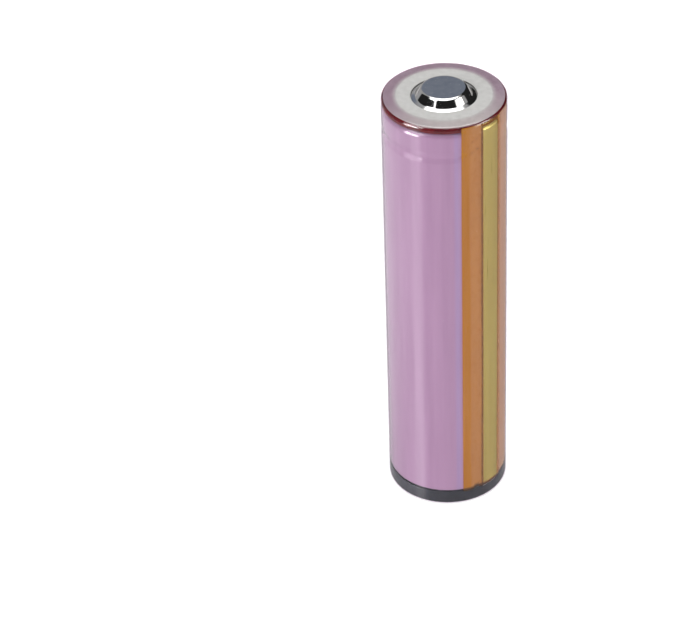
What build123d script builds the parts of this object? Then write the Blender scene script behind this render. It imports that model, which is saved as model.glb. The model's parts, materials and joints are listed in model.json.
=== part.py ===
"""Protected 18650 lithium-ion cell with a raised positive button.

A bare flat-top cell in its own pink sleeve has three things added: a protection board in a
plastic ring under it, a stamped button on top, and a nickel strip down its side that joins
the two. A clear shrink sleeve holds all of it together.

Millimetres. Z is the axis of the cell, +Z towards the positive button, and the origin is at
the middle of the negative contact, which the cell stands on.
"""
import os
from math import cos, radians, sin

from build123d import *

# ---------------------------------------------------------------- driving dimensions

CELL_LENGTH = 70.45  # over the button and the negative contact
SLEEVE_RADIUS = 9.25  # outside of the clear sleeve
SLEEVE_WALL = 0.08
SLEEVE_BASE = 0.18  # the sleeve's lower lip stands clear of the contact's face
SLEEVE_TOP = 69.32
SLEEVE_CORNER = 0.40  # how far each end rounds over
LIP_RADIUS_TOP = 7.00  # inner edge of the lip that is shrunk over each end
LIP_RADIUS_BASE = 7.25
RIDGE_RISE = 0.20  # how far the strip lifts the clear sleeve
RIDGE_HALF_ANGLE = 36.0

CAN_RADIUS = 9.03
CAN_WALL = 0.25
CAN_BASE = 2.70
CAN_TOP = 67.75  # top of the crimp, so the bare can is 65 mm tall
CRIMP_RADIUS = 7.70
BEAD_LOW = 63.35
BEAD_HIGH = 64.65
BEAD_RADIUS = 8.00

PINK_WALL = 0.055
PINK_RADIUS = CAN_RADIUS + 0.005 + PINK_WALL
PINK_DIP = 0.14  # the pink sleeve sinks a little into the bead

STRIP_ANGLE = -43.7  # from +X, seen from above
STRIP_WIDTH = 3.0
STRIP_THICKNESS = 0.10
UNDER_TAPE_WIDTH = 4.4
COVER_TAPE_WIDTH = 10.0
TAPE_THICKNESS = 0.035

BUTTON_RADIUS = 3.30  # where the flat top would meet the wall, before rounding
BUTTON_SHEET = 0.30
WASHER_HOLE_RADIUS = 4.84
WASHER_RADIUS = 8.95
RING_RADIUS = 9.06
RING_INNER_RADIUS = 6.45

BOARD_RADIUS = 8.55
BOARD_THICKNESS = 0.80
CONTACT_RADIUS = 7.00
CONTACT_THICKNESS = 0.30
BOARD_TAB_ANGLE = STRIP_ANGLE + 180
BOARD_TAB_FOLD = 4.60  # distance from the axis to the tab's fold

GAP = 0.01  # between neighbours that are pressed or stacked together

# ---------------------------------------------------------------- levels, from the base up

BOARD_LOW = CONTACT_THICKNESS
BOARD_TOP = BOARD_LOW + BOARD_THICKNESS
SOLDER = 0.04
HOUSING_LOW = BOARD_LOW + 0.02
HOUSING_TOP = 2.46
INSULATOR_LOW = HOUSING_TOP + GAP
INSULATOR_TOP = INSULATOR_LOW + 0.12

CAN_FLOOR = CAN_BASE + CAN_WALL
LOWER_DISC_LOW = CAN_FLOOR + 0.12
LOWER_DISC_TOP = LOWER_DISC_LOW + 0.30
ROLL_LOW = LOWER_DISC_TOP + 0.10
ROLL_TOP = 62.00
UPPER_DISC_LOW = 62.75
UPPER_DISC_TOP = 63.05

SHELF = BEAD_HIGH + CAN_WALL  # the bead's upper side, inside the can
GASKET_FLOOR = SHELF + 0.45
VENT_TOP = GASKET_FLOOR + 0.35
FUSE_TOP = VENT_TOP + 0.40
CAP_RIM_TOP = FUSE_TOP + 0.60
CRIMP_UNDER = CAN_TOP - CAN_WALL
BREAK_PLATE_TOP = 64.44
BREAK_PLATE_LOW = BREAK_PLATE_TOP - 0.40
VENT_SHEET = 0.35
VENT_BOSS_TOP = BREAK_PLATE_TOP + GAP + VENT_SHEET
VENT_DISH_TOP = VENT_BOSS_TOP + 0.30

FACTORY_WASHER_LOW = CAN_TOP + GAP
FACTORY_WASHER_TOP = FACTORY_WASHER_LOW + 0.20
PINK_TOP = FACTORY_WASHER_TOP + GAP + PINK_WALL
CAP_TOP = PINK_TOP
STRIP_TOP = CAP_TOP + GAP + STRIP_THICKNESS
RING_LOW = STRIP_TOP + GAP
RING_TOP = 69.05
TOP_WASHER_LOW = RING_TOP + GAP
TOP_WASHER_TOP = 69.20

# ---------------------------------------------------------------- the wound roll

CAN_BORE = CAN_RADIUS - CAN_WALL
RIM_RADIUS = CAN_BORE - 0.34 - 2 * GAP  # what the gasket grips

ROLL_INNER_RADIUS = 1.75
ROLL_TURNS = 16
ELECTRODE = 0.145
SEPARATOR = 0.025
WINDING_GAP = 0.011
ROLL_PITCH = 2 * (ELECTRODE + SEPARATOR) + 4 * WINDING_GAP
PIN_RADIUS = 1.50
PIN_BORE = 1.20
INNER_TAB_WIDTH = 4.0

INNER_SEPARATOR_RADIUS = ROLL_INNER_RADIUS
ANODE_RADIUS = INNER_SEPARATOR_RADIUS + SEPARATOR + WINDING_GAP
OUTER_SEPARATOR_RADIUS = ANODE_RADIUS + ELECTRODE + WINDING_GAP
CATHODE_RADIUS = OUTER_SEPARATOR_RADIUS + SEPARATOR + WINDING_GAP
ROLL_RADIUS = OUTER_SEPARATOR_RADIUS + (ROLL_TURNS + 1) * ROLL_PITCH + SEPARATOR


# ---------------------------------------------------------------- shared shapes


def disc(radius, low, high):
    """A plain disc between two levels."""
    with BuildPart() as plain:
        with BuildSketch(Plane.XY.offset(low)):
            Circle(radius)
        extrude(amount=high - low)
    return plain


def washer(inner, outer, low, high):
    """A flat ring between two levels."""
    with BuildPart() as ring:
        with BuildSketch(Plane.XY.offset(low)):
            Circle(outer)
            Circle(inner, mode=Mode.SUBTRACT)
        extrude(amount=high - low)
    return ring


def turned(points, corner_radii):
    """A closed outline turned about Z, each corner rounded by its own radius."""
    with BuildPart() as piece:
        with BuildSketch(Plane.XZ):
            with BuildLine():
                FilletPolyline(*points, radius=corner_radii, close=True)
            make_face()
        revolve(axis=Axis.Z)
    return piece


def pressed_sheet(points, corner_radii, thickness, side=Side.RIGHT):
    """A sheet turned about Z. One face follows the points and its thickness lies on one side."""
    with BuildPart() as sheet:
        with BuildSketch(Plane.XZ):
            with BuildLine():
                FilletPolyline(*points, radius=corner_radii)
                offset(amount=thickness, side=side)
            make_face()
        revolve(axis=Axis.Z)
    return sheet


def radial_strip(points, corner_radii, thickness, width, angle, side=Side.RIGHT):
    """A strip folded along a radial path, rounded across its width where it lies on the cell."""
    strip = pressed_sheet(points, corner_radii, thickness, side)
    with strip:
        with Locations(Location((0, 0, -1), (0, 0, angle))):
            Box(
                2 * SLEEVE_RADIUS,
                width,
                CELL_LENGTH + 2,
                align=(Align.MIN, Align.CENTER, Align.MIN),
                mode=Mode.INTERSECT,
            )
    return strip


def wall_sector(inner, outer, start_angle, end_angle, low, high):
    """A piece of cylindrical wall between two angles."""
    with BuildPart() as wall:
        with BuildSketch(Plane.XY.offset(low)):
            with BuildLine():
                outside = CenterArc((0, 0), outer, start_angle, end_angle - start_angle)
                inside = CenterArc((0, 0), inner, start_angle, end_angle - start_angle)
                Line(outside @ 0, inside @ 0)
                Line(outside @ 1, inside @ 1)
            make_face()
        extrude(amount=high - low)
    return wall


# ---------------------------------------------------------------- outside of the cell


def ridged_block(radius, low, high, corner):
    """A round block that lifts gently over the strip, its two ends rounded over."""
    apex_radius = radius + RIDGE_RISE
    apex = (apex_radius * cos(radians(STRIP_ANGLE)), apex_radius * sin(radians(STRIP_ANGLE)))
    round_start = STRIP_ANGLE + RIDGE_HALF_ANGLE
    with BuildPart() as block:
        with BuildSketch(Plane.XY.offset(low)):
            with BuildLine():
                round_side = CenterArc((0, 0), radius, round_start, 360 - 2 * RIDGE_HALF_ANGLE)
                ThreePointArc(round_side @ 1, apex, round_side @ 0)
            make_face()
        extrude(amount=high - low)
        fillet(block.faces().filter_by(Axis.Z).edges(), radius=corner)
    return block


def build_clear_outer_sleeve():
    inside = ridged_block(
        SLEEVE_RADIUS - SLEEVE_WALL,
        SLEEVE_BASE + SLEEVE_WALL,
        SLEEVE_TOP - SLEEVE_WALL,
        SLEEVE_CORNER - SLEEVE_WALL,
    )
    sleeve = ridged_block(SLEEVE_RADIUS, SLEEVE_BASE, SLEEVE_TOP, SLEEVE_CORNER)
    with sleeve:
        add(inside.part, mode=Mode.SUBTRACT)
        with Locations((0, 0, SLEEVE_TOP)):
            Cylinder(LIP_RADIUS_TOP, 1, mode=Mode.SUBTRACT)
        with Locations((0, 0, SLEEVE_BASE)):
            Cylinder(LIP_RADIUS_BASE, 1, mode=Mode.SUBTRACT)
    return sleeve


def build_pink_inner_sleeve():
    """The bare cell's sleeve, shrunk over the factory washer, into the bead and under the can."""
    bead_middle = (BEAD_LOW + BEAD_HIGH) / 2
    dip_half = 0.95
    fold_base = CAN_BASE - PINK_WALL - GAP / 2
    top_lip, base_lip = 7.60, 7.80
    points = [
        (top_lip, PINK_TOP),
        (PINK_RADIUS, PINK_TOP),
        (PINK_RADIUS, bead_middle + dip_half),
        (PINK_RADIUS - PINK_DIP, bead_middle),
        (PINK_RADIUS, bead_middle - dip_half),
        (PINK_RADIUS, fold_base),
        (base_lip, fold_base),
    ]
    return pressed_sheet(points, [0.85, 1.2, 1.2, 1.2, 0.85], PINK_WALL)


def build_strip_under_tape():
    low, high = 3.60, 66.90
    inner = PINK_RADIUS + GAP / 2
    outer = inner + TAPE_THICKNESS
    half = UNDER_TAPE_WIDTH / 2 / inner / radians(1)
    return wall_sector(inner, outer, STRIP_ANGLE - half, STRIP_ANGLE + half, low, high)


def build_positive_strip():
    """From the cap out over the rim, down the side, and in to the board's upper side."""
    outer = PINK_RADIUS + TAPE_THICKNESS + GAP + STRIP_THICKNESS
    tuck = 2.20  # level at which the strip turns in under the can
    leg = 7.60
    weld_end, foot_end = 1.60, 6.10
    points = [
        (weld_end, STRIP_TOP),
        (outer, STRIP_TOP),
        (outer, tuck),
        (leg, tuck),
        (leg, BOARD_TOP + SOLDER),
        (foot_end, BOARD_TOP + SOLDER),
    ]
    return radial_strip(points, [0.60, 0.30, 0.15, 0.15], STRIP_THICKNESS, STRIP_WIDTH, STRIP_ANGLE)


def build_strip_cover_tape():
    """Amber film over the strip, stepped down to the pink sleeve on each side of it."""
    low, high = 2.35, 68.90
    side_inner = PINK_RADIUS + TAPE_THICKNESS + GAP
    side_outer = side_inner + TAPE_THICKNESS
    ridge_inner = side_inner + STRIP_THICKNESS + GAP
    ridge_outer = ridge_inner + TAPE_THICKNESS
    half = COVER_TAPE_WIDTH / 2 / side_outer / radians(1)
    step_inner = 13.9  # degrees off the strip's middle
    step_outer = step_inner + 0.3
    spans = [
        (side_inner, side_outer, -half, -step_inner),
        (side_inner, ridge_outer, -step_outer, -step_inner),
        (ridge_inner, ridge_outer, -step_outer, step_outer),
        (side_inner, ridge_outer, step_inner, step_outer),
        (side_inner, side_outer, step_inner, half),
    ]
    with BuildPart() as tape:
        for inner, outer, start, end in spans:
            span = wall_sector(inner, outer, STRIP_ANGLE + start, STRIP_ANGLE + end, low, high)
            add(span.part)
    return tape


def build_top_white_washer():
    return washer(WASHER_HOLE_RADIUS, WASHER_RADIUS, TOP_WASHER_LOW, TOP_WASHER_TOP)


def build_red_fibre_ring():
    ring = washer(RING_INNER_RADIUS, RING_RADIUS, RING_LOW, RING_TOP)
    with ring:
        chamfer(ring.edges().filter_by(GeomType.CIRCLE).group_by(SortBy.RADIUS)[-1], length=0.05)
    return ring


def build_positive_button():
    """One stamping: a flat top, a rounded rim, and a conical wall that runs out to a welded flange."""
    wall_foot = (4.15, 69.25)
    hole_level = 68.98  # where the wall passes down through the washer's hole
    flange_start, flange_radius = 5.45, 6.20
    flange_top = RING_LOW + BUTTON_SHEET
    points = [
        (0, CELL_LENGTH),
        (BUTTON_RADIUS, CELL_LENGTH),
        wall_foot,
        (WASHER_HOLE_RADIUS + 0.06, hole_level),
        (flange_start, flange_top),
        (flange_radius, flange_top),
    ]
    return pressed_sheet(points, [0.42, 0.30, 0.40, 0.20], BUTTON_SHEET)


# ---------------------------------------------------------------- board under the cell


def build_board_housing_ring():
    """The dark ring round the board. Its ledge sits on the board and a notch lets the strip in."""
    wall_inner = BOARD_RADIUS + 0.03
    ledge_inner = 8.15
    ledge_low = BOARD_TOP + GAP
    ledge_high = ledge_low + 0.45
    notch_low = 2.12
    points = [
        (wall_inner, HOUSING_LOW),
        (PINK_RADIUS, HOUSING_LOW),
        (PINK_RADIUS, HOUSING_TOP),
        (wall_inner, HOUSING_TOP),
        (wall_inner, ledge_high),
        (ledge_inner, ledge_high),
        (ledge_inner, ledge_low),
        (wall_inner, ledge_low),
    ]
    housing = turned(points, [0, 0.30, 0.06, 0, 0, 0, 0, 0])
    with housing:
        with Locations(Location((0, 0, notch_low), (0, 0, STRIP_ANGLE))):
            Box(
                10,
                STRIP_WIDTH + 0.5,
                1,
                align=(Align.MIN, Align.CENTER, Align.MIN),
                mode=Mode.SUBTRACT,
            )
    return housing


def build_protection_board():
    return disc(BOARD_RADIUS, BOARD_LOW, BOARD_TOP)


def build_negative_contact_plate():
    """The face that the cell stands on, a nickel-plated disc with its edge eased."""
    plate = disc(CONTACT_RADIUS, 0, CONTACT_THICKNESS)
    with plate:
        fillet(plate.edges().group_by(Axis.Z)[0], radius=0.10)
    return plate


def chip_package(length, width, height, leads_a_side, lead_pitch):
    """A moulded chip standing on Z = 0, with a row of leads down each long side."""
    lead_reach = 0.45
    lead_size = (0.6 * lead_pitch, 2 * lead_reach, 0.18)
    with BuildPart() as chip:
        Box(length, width, height, align=(Align.CENTER, Align.CENTER, Align.MIN))
        chamfer(chip.edges().group_by(Axis.Z)[-1], length=0.15)
        with GridLocations(lead_pitch, width + lead_reach, leads_a_side, 2):
            Box(*lead_size, align=(Align.CENTER, Align.CENTER, Align.MIN))
    return chip


def build_switch_transistors():
    """The two dual power transistors that open the negative lead, one solid each."""
    chip = chip_package(length=3.0, width=4.4, height=1.00, leads_a_side=4, lead_pitch=0.65)
    with BuildPart() as pair:
        with Locations((3.9, 3.0, BOARD_TOP + GAP), (-3.4, -3.2, BOARD_TOP + GAP)):
            add(chip.part)
    return pair


def build_protection_chip():
    chip = chip_package(length=2.9, width=1.6, height=1.05, leads_a_side=3, lead_pitch=0.95)
    with BuildPart() as placed:
        with Locations((0.2, 5.6, BOARD_TOP + GAP)):
            add(chip.part)
    return placed


def chip_components(height, places):
    """Small two-ended chip components standing on the board."""
    with BuildPart() as components:
        for x, y in places:
            with Locations((x, y, BOARD_TOP + GAP)):
                Box(1.6, 0.8, height, align=(Align.CENTER, Align.CENTER, Align.MIN))
        chamfer(components.edges().filter_by(Axis.Z), length=0.08)
    return components


def build_chip_resistors():
    return chip_components(0.45, [(0.4, 2.6), (0.6, -4.6)])


def build_chip_capacitors():
    return chip_components(0.80, [(0.6, 0.4), (0.6, -6.4)])


def build_solder_pads():
    """Solder under the feet of the positive strip and the board's tab."""
    with BuildPart() as pads:
        for reach, angle in ((6.75, STRIP_ANGLE), (3.60, BOARD_TAB_ANGLE)):
            x = reach * cos(radians(angle))
            y = reach * sin(radians(angle))
            with Locations(Location((x, y, BOARD_TOP), (0, 0, angle))):
                Box(
                    1.3,
                    STRIP_WIDTH - 0.4,
                    SOLDER,
                    align=(Align.CENTER, Align.CENTER, Align.MIN),
                )
    return pads


def build_board_tab():
    """Nickel tab, welded under the can and folded down to the board."""
    weld_end, foot_end = 0.40, 2.90
    points = [
        (weld_end, CAN_BASE - GAP),
        (BOARD_TAB_FOLD, CAN_BASE - GAP),
        (BOARD_TAB_FOLD, BOARD_TOP + SOLDER),
        (foot_end, BOARD_TOP + SOLDER),
    ]
    return radial_strip(points, [0.25, 0.25], STRIP_THICKNESS, STRIP_WIDTH, BOARD_TAB_ANGLE)


def build_board_insulator():
    """Fibre disc between the board's parts and the can, slotted for the board's tab."""
    slot_length = 1.0
    disc_radius = 8.85
    middle = BOARD_TAB_FOLD - 0.15
    x = middle * cos(radians(BOARD_TAB_ANGLE))
    y = middle * sin(radians(BOARD_TAB_ANGLE))
    plate = disc(disc_radius, INSULATOR_LOW, INSULATOR_TOP)
    with plate:
        with Locations(Location((x, y, INSULATOR_LOW), (0, 0, BOARD_TAB_ANGLE))):
            Box(slot_length, STRIP_WIDTH + 0.6, 1, mode=Mode.SUBTRACT)
    return plate


# ---------------------------------------------------------------- the can and its closure


def build_steel_can():
    """Deep-drawn can with its bead rolled in and its rim crimped over the gasket."""
    points = [
        (0, CAN_BASE),
        (CAN_RADIUS, CAN_BASE),
        (CAN_RADIUS, BEAD_LOW),
        (BEAD_RADIUS, BEAD_LOW),
        (BEAD_RADIUS, BEAD_HIGH),
        (CAN_RADIUS, BEAD_HIGH),
        (CAN_RADIUS, CAN_TOP),
        (CRIMP_RADIUS, CAN_TOP),
    ]
    radii = [0.80, 0.35, 0.50, 0.50, 0.35, 0.90]
    return pressed_sheet(points, radii, CAN_WALL, Side.LEFT)


def build_cap_gasket():
    """Plastic channel that the crimp closes on the rims of the cap, the fuse and the vent."""
    outer = CAN_BORE - GAP
    lip = CRIMP_RADIUS + 0.10
    floor_inner = 7.30
    points = [
        (floor_inner, SHELF),
        (outer, SHELF),
        (outer, CRIMP_UNDER),
        (lip, CRIMP_UNDER),
        (lip, CAP_RIM_TOP),
        (RIM_RADIUS + GAP, CAP_RIM_TOP),
        (RIM_RADIUS + GAP, GASKET_FLOOR),
        (floor_inner, GASKET_FLOOR),
    ]
    return turned(points, [0, 0.20, 0.70, 0, 0, 0, 0, 0])


def build_factory_washer():
    inner, outer = 5.90, 8.25
    return washer(inner, outer, FACTORY_WASHER_LOW, FACTORY_WASHER_TOP)


def build_bare_cell_cap():
    """The bare cell's own flat cap, with four gas ports in its sloping wall."""
    sheet = 0.60
    flat_radius, wall_foot_radius = 4.70, 5.60
    points = [
        (0, CAP_TOP),
        (flat_radius, CAP_TOP),
        (wall_foot_radius, CAP_RIM_TOP),
        (RIM_RADIUS, CAP_RIM_TOP),
    ]
    cap = pressed_sheet(points, [0.70, 0.30], sheet)
    with cap:
        with Locations((0, 0, CAP_RIM_TOP + 0.30)):
            with PolarLocations(4.9, 4, start_angle=STRIP_ANGLE + 45):
                Box(2.4, 1.3, 0.6, mode=Mode.SUBTRACT)
    return cap


def build_fuse_ring():
    """Resettable fuse: its resistance jumps when it heats."""
    inner = 5.80
    return washer(inner, RIM_RADIUS, VENT_TOP + GAP, FUSE_TOP - GAP)


def build_vent_disc():
    """Aluminium disc that bulges and breaks the circuit if the pressure inside rises."""
    points = [
        (0, VENT_BOSS_TOP),
        (1.00, VENT_BOSS_TOP),
        (1.45, VENT_DISH_TOP),
        (5.30, VENT_DISH_TOP),
        (6.30, VENT_TOP),
        (RIM_RADIUS, VENT_TOP),
    ]
    return pressed_sheet(points, [0.10, 0.40, 0.40, 0.50], VENT_SHEET)


def build_vent_insulator():
    inner, outer = 2.20, 6.90
    low = BREAK_PLATE_TOP + GAP
    return washer(inner, outer, low, VENT_DISH_TOP - VENT_SHEET - GAP)


def build_break_plate():
    """The plate that the vent disc is welded to at its middle, pierced to let gas reach it."""
    plate = disc(6.60, BREAK_PLATE_LOW, BREAK_PLATE_TOP)
    with plate:
        with PolarLocations(4.3, 6, start_angle=30):
            Cylinder(0.6, 4 * CELL_LENGTH, mode=Mode.SUBTRACT)
    return plate


# ---------------------------------------------------------------- inside the can


def wound_sheet(radius, thickness, turns, low, high):
    """A sheet wound at an even pitch. Its upper half turns are about the axis, and its lower
    ones are about a point half a pitch beside it, so that neighbours keep one distance."""
    with BuildPart() as sheet:
        with BuildSketch(Plane.XY.offset(low)):
            with BuildLine():
                for face in (radius, radius + thickness):
                    for turn in range(turns):
                        reach = face + turn * ROLL_PITCH
                        CenterArc((0, 0), reach, 0, 180)
                        CenterArc((ROLL_PITCH / 2, 0), reach + ROLL_PITCH / 2, 180, 180)
                end = radius + turns * ROLL_PITCH
                Line((radius, 0), (radius + thickness, 0))
                Line((end, 0), (end + thickness, 0))
            make_face()
        extrude(amount=high - low)
    return sheet


def build_inner_separator():
    return wound_sheet(INNER_SEPARATOR_RADIUS, SEPARATOR, ROLL_TURNS + 1, ROLL_LOW, ROLL_TOP)


def build_outer_separator():
    return wound_sheet(OUTER_SEPARATOR_RADIUS, SEPARATOR, ROLL_TURNS + 1, ROLL_LOW, ROLL_TOP)


def build_anode_sheet():
    return wound_sheet(ANODE_RADIUS, ELECTRODE, ROLL_TURNS + 1, ROLL_LOW + 0.5, ROLL_TOP - 0.5)


def build_cathode_sheet():
    return wound_sheet(CATHODE_RADIUS, ELECTRODE, ROLL_TURNS, ROLL_LOW + 1.0, ROLL_TOP - 1.0)


def build_roll_tape():
    """Two bands that keep the roll wound, open where the negative tab passes."""
    inner = ROLL_RADIUS + 0.02
    with BuildPart() as bands:
        for low, high in ((8.0, 20.0), (46.0, 58.0)):
            band = wall_sector(inner, inner + 0.05, STRIP_ANGLE + 20, STRIP_ANGLE + 340, low, high)
            add(band.part)
    return bands


def build_centre_pin():
    """Open steel tube that keeps the roll's middle clear, so that gas can reach the vent."""
    return washer(PIN_BORE, PIN_RADIUS, ROLL_LOW + 0.2, ROLL_TOP - 0.2)


def build_upper_insulator():
    """Disc between the roll and the bead, with a hole for gas and a slot for the tab."""
    plate = washer(1.60, 8.60, UPPER_DISC_LOW, UPPER_DISC_TOP)
    with plate:
        with Locations((5.20, 0, UPPER_DISC_LOW)):
            Box(1.2, INNER_TAB_WIDTH + 0.6, 1, mode=Mode.SUBTRACT)
    return plate


def build_lower_insulator():
    return washer(1.60, 8.20, LOWER_DISC_LOW, LOWER_DISC_TOP)


def build_positive_tab():
    """Aluminium tab from above the cathode, through the slot, to the break plate."""
    fold = 5.20
    weld_end = 1.20
    under_plate = BREAK_PLATE_LOW - GAP
    points = [(weld_end, under_plate), (fold, under_plate), (fold, ROLL_TOP + 0.05)]
    return radial_strip(points, [0.30], STRIP_THICKNESS, INNER_TAB_WIDTH, 0)


def build_negative_tab():
    """Nickel tab, welded to the can's floor and run up outside the roll's last turn."""
    outer = CAN_BORE - 0.03
    weld_end, tab_top = 0.60, 14.0
    points = [(weld_end, CAN_FLOOR + GAP), (outer, CAN_FLOOR + GAP), (outer, tab_top)]
    return radial_strip(points, [0.75], STRIP_THICKNESS, INNER_TAB_WIDTH, STRIP_ANGLE, Side.LEFT)


# ---------------------------------------------------------------- writing the pieces

PIECES = {
    "clear_outer_sleeve": build_clear_outer_sleeve,
    "pink_inner_sleeve": build_pink_inner_sleeve,
    "top_white_washer": build_top_white_washer,
    "red_fibre_ring": build_red_fibre_ring,
    "positive_button": build_positive_button,
    "positive_strip": build_positive_strip,
    "strip_under_tape": build_strip_under_tape,
    "strip_cover_tape": build_strip_cover_tape,
    "board_housing_ring": build_board_housing_ring,
    "protection_board": build_protection_board,
    "negative_contact_plate": build_negative_contact_plate,
    "switch_transistors": build_switch_transistors,
    "protection_chip": build_protection_chip,
    "chip_resistors": build_chip_resistors,
    "chip_capacitors": build_chip_capacitors,
    "solder_pads": build_solder_pads,
    "board_tab": build_board_tab,
    "board_insulator": build_board_insulator,
    "steel_can": build_steel_can,
    "cap_gasket": build_cap_gasket,
    "factory_washer": build_factory_washer,
    "bare_cell_cap": build_bare_cell_cap,
    "fuse_ring": build_fuse_ring,
    "vent_disc": build_vent_disc,
    "vent_insulator": build_vent_insulator,
    "break_plate": build_break_plate,
    "positive_tab": build_positive_tab,
    "upper_insulator": build_upper_insulator,
    "inner_separator": build_inner_separator,
    "anode_sheet": build_anode_sheet,
    "outer_separator": build_outer_separator,
    "cathode_sheet": build_cathode_sheet,
    "roll_tape": build_roll_tape,
    "centre_pin": build_centre_pin,
    "lower_insulator": build_lower_insulator,
    "negative_tab": build_negative_tab,
}

os.makedirs("parts", exist_ok=True)
for name, build_piece in PIECES.items():
    piece = build_piece()
    piece.part.label = name
    export_step(piece.part, f"parts/{name}.step")
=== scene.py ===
"""A protected cylindrical battery cell, standing on its negative contact.

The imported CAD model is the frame. Every layer that shows is made again here as a smooth closed mesh in the
place that the CAD model holds it. The pieces sealed inside keep their CAD meshes and get new materials.
Lengths are millimetres until a mesh is written, where MM turns them into metres. The floor and the lights
are placed in metres, and noise is scaled in cells per metre.
"""

import json
from math import asin, atan2, ceil, cos, degrees, exp, pi, radians, sin, tan

import bmesh
import bpy
from mathutils import Matrix, Vector, noise


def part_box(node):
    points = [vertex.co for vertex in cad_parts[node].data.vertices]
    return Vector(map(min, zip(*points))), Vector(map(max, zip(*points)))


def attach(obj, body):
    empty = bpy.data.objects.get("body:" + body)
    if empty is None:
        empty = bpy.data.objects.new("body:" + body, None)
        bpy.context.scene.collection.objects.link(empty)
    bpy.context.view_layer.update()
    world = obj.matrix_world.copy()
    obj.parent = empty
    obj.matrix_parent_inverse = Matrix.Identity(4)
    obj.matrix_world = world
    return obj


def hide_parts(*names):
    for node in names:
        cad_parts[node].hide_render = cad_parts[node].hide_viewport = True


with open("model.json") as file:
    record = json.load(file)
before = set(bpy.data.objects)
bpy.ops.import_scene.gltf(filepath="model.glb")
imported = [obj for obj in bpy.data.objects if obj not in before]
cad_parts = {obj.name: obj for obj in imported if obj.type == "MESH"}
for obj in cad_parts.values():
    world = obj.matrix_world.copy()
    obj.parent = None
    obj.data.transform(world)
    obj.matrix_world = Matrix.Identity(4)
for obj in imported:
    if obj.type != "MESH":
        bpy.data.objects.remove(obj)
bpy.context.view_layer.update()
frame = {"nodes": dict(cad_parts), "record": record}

MM = 0.001
STRIP_ANGLE = radians(-43.7)  # the side strip, from +X, seen from above
GAUGE = {"sleeve": 0.08, "pink": 0.055, "tape": 0.035, "strip": 0.10, "button": 0.30}


# ---------------------------------------------------------------- the frame's levels and radii


def low_of(node):
    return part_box(node)[0].z / MM


def high_of(node):
    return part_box(node)[1].z / MM


def radius_of(node):
    """Measured towards -X, where nothing stands proud of the round."""
    return -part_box(node)[0].x / MM


SLEEVE_RADIUS = radius_of("clear_outer_sleeve")
SLEEVE_LOW = low_of("clear_outer_sleeve")
SLEEVE_HIGH = high_of("clear_outer_sleeve")
LIP_TOP = 7.00  # inner edge of the sleeve's lip over each end
LIP_BASE = 7.25
PINK_RADIUS = radius_of("pink_inner_sleeve")
PINK_LOW = low_of("pink_inner_sleeve")
PINK_HIGH = high_of("pink_inner_sleeve")
BEAD_LEVEL = 64.0  # the groove under the cell's crimp
TAPE_LOW = low_of("strip_cover_tape")
TAPE_HIGH = high_of("strip_cover_tape")
TAPE_SIDE = PINK_RADIUS + 0.075  # outside of the cover tape where it lies on the pink sleeve
TAPE_OVER = TAPE_SIDE + 0.11  # and where it passes over the strip
TAPE_HALF = radians(31.2)
STRIP_HIGH = high_of("positive_strip")
STRIP_LOW = 2.20
STRIP_RADIUS = PINK_RADIUS + 0.145
STRIP_WIDTH = 3.0


# ---------------------------------------------------------------- outlines and meshes


def corner_arc(before, corner, after, radius, steps):
    """Points of the round that replaces one corner of a polyline."""
    back = (before - corner).normalized()
    on = (after - corner).normalized()
    half = back.angle(on) / 2
    centre = corner + (back + on).normalized() * radius / sin(half)
    start = corner + back * radius / tan(half) - centre
    end = corner + on * radius / tan(half) - centre
    first = atan2(start.y, start.x)
    turn = (atan2(end.y, end.x) - first + pi) % (2 * pi) - pi
    angles = [first + turn * k / steps for k in range(steps + 1)]
    return [centre + radius * Vector((cos(a), sin(a))) for a in angles]


def rounded(points, radii, steps=8):
    """An open polyline with each inner corner rounded; a radius of 0 leaves its corner sharp."""
    points = [Vector(p) for p in points]
    path = [points[0]]
    for before, corner, after, radius in zip(points, points[1:], points[2:], radii):
        path += corner_arc(before, corner, after, radius, steps) if radius else [corner]
    return path + [points[-1]]


def divided(path, step):
    """The same line with no run between two points longer than step."""
    out = [path[0]]
    for a, b in zip(path, path[1:]):
        parts = max(1, ceil((b - a).length / step))
        out += [a.lerp(b, k / parts) for k in range(1, parts + 1)]
    return out


def shifted(path, distance):
    """The line moved sideways, to the left of its direction for a positive distance."""
    out = []
    for k, point in enumerate(path):
        along = path[min(k + 1, len(path) - 1)] - path[max(k - 1, 0)]
        out.append(point + distance * Vector((-along.y, along.x)).normalized())
    return out


def loop(start, corners, radii, steps, step):
    """A closed outline with rounded corners, begun and ended at a point on one of its sides."""
    return divided(rounded([start, *corners, start], radii, steps), step)[:-1]


def ribbon(path, gauge):
    """A closed outline: the path and its offset, joined at both ends."""
    return path + shifted(path, gauge)[::-1]


def make_object(name, mesh, crease=35):
    """Closes off a bmesh as a smooth object in metres."""
    bmesh.ops.remove_doubles(mesh, verts=mesh.verts, dist=1e-5)
    bmesh.ops.dissolve_degenerate(mesh, edges=mesh.edges, dist=1e-6)
    bmesh.ops.recalc_face_normals(mesh, faces=mesh.faces)
    bmesh.ops.scale(mesh, vec=(MM, MM, MM), verts=mesh.verts)
    data = bpy.data.meshes.new(name)
    mesh.to_mesh(data)
    mesh.free()
    data.shade_smooth()
    data.set_sharp_from_angle(angle=radians(crease))
    piece = bpy.data.objects.new(name, data)
    bpy.context.scene.collection.objects.link(piece)
    return piece


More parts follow.
